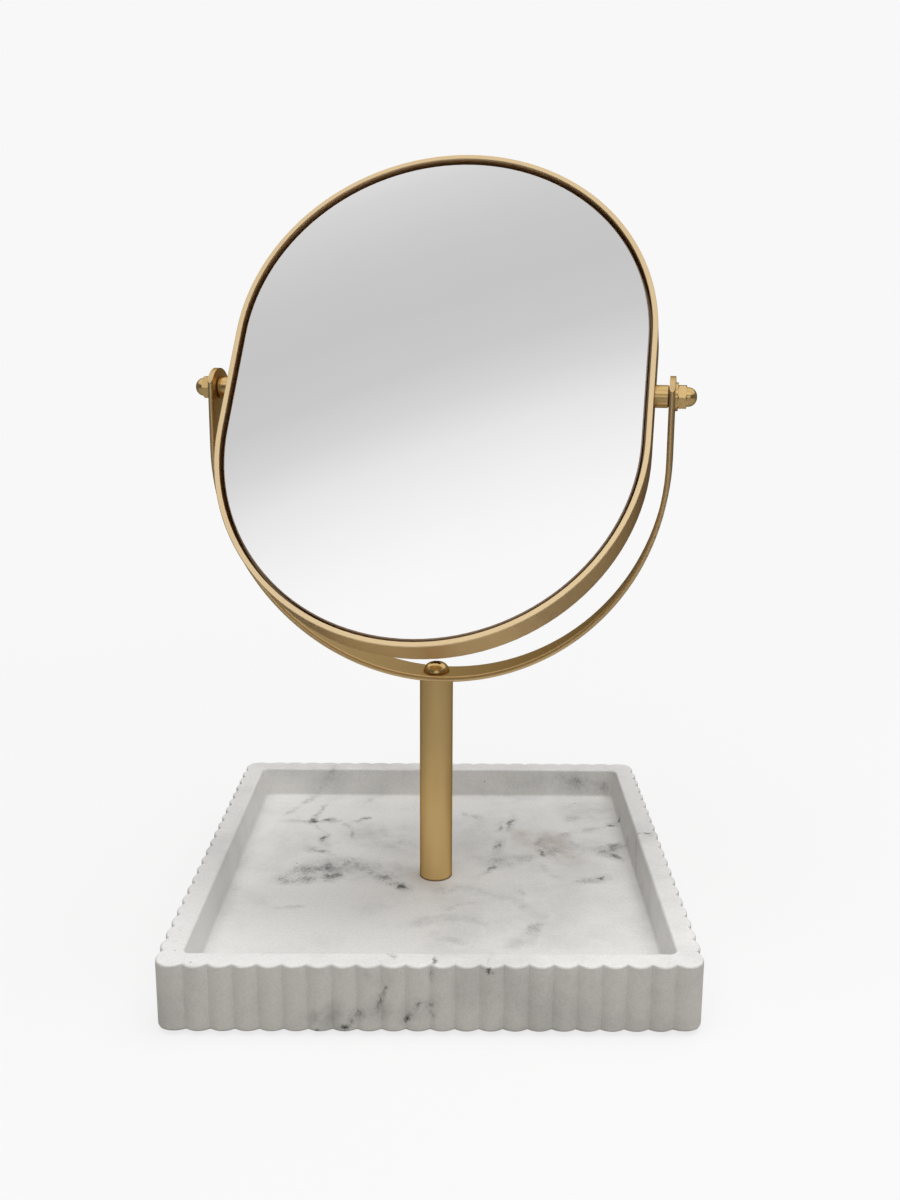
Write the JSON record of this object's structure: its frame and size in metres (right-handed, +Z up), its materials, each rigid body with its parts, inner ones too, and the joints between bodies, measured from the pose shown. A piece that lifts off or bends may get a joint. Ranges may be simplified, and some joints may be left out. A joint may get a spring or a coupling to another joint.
{
  "type": "table mirror",
  "caption": "Stadium-shaped mirror that tilts in a bent flat-bar yoke and swivels on a post, which stands in a square reeded tray with a shallow well.",
  "frame": {"origin": "middle of the tray's footprint, on the surface that the foot pads rest on", "axes": "+Z up along the post, -Y towards the front, +X to the viewer's right; the yoke rests swivelled and the mirror rests tilted, as pictured"},
  "size_m": [0.1828, 0.18, 0.2911],
  "materials": {
    "tray_stone": "smooth cast marble-look stone",
    "foot_pad_rubber": "matt moulded rubber",
    "satin_gold_metal": "satin brass-coloured plating on steel",
    "zinc_steel": "zinc-plated",
    "silvered_glass": "silvered float glass",
    "adhesive_tape": "double-sided acrylic tape",
    "fibreboard": "raw fibreboard",
    "nylon": "smooth moulded"
  },
  "bodies": {
    "base": {"tray": "tray_stone", "foot_pad_front_left": "foot_pad_rubber", "foot_pad_front_right": "foot_pad_rubber", "foot_pad_rear_left": "foot_pad_rubber", "foot_pad_rear_right": "foot_pad_rubber", "post_tube": "satin_gold_metal", "post_bottom_insert": "zinc_steel", "post_top_insert": "zinc_steel", "post_screw": "zinc_steel", "post_washer": "zinc_steel", "post_spring_washer": "zinc_steel", "yoke_screw": "satin_gold_metal"},
    "yoke": {"yoke": "satin_gold_metal"},
    "mirror": {"mirror_frame": "satin_gold_metal", "mirror_glass": "silvered_glass", "glass_tape": "adhesive_tape", "backing_board": "fibreboard", "back_pan": "satin_gold_metal", "pivot_stud_left": "satin_gold_metal", "pivot_stud_right": "satin_gold_metal", "friction_washer_left": "nylon", "friction_washer_right": "nylon", "pivot_washer_left": "satin_gold_metal", "pivot_washer_right": "satin_gold_metal", "cap_nut_left": "satin_gold_metal", "cap_nut_right": "satin_gold_metal"}
  },
  "joints": [
    {"name": "swivel", "type": "hinge", "parent": "base", "child": "yoke", "pos_m": [0, 0, 0.0955], "axis": [0, 0, 1], "continuous": true},
    {"name": "tilt", "type": "hinge", "parent": "yoke", "child": "mirror", "pos_m": [0, 0, 0.20321], "axis": [0.9799, -0.1994, 0], "continuous": true}
  ]
}
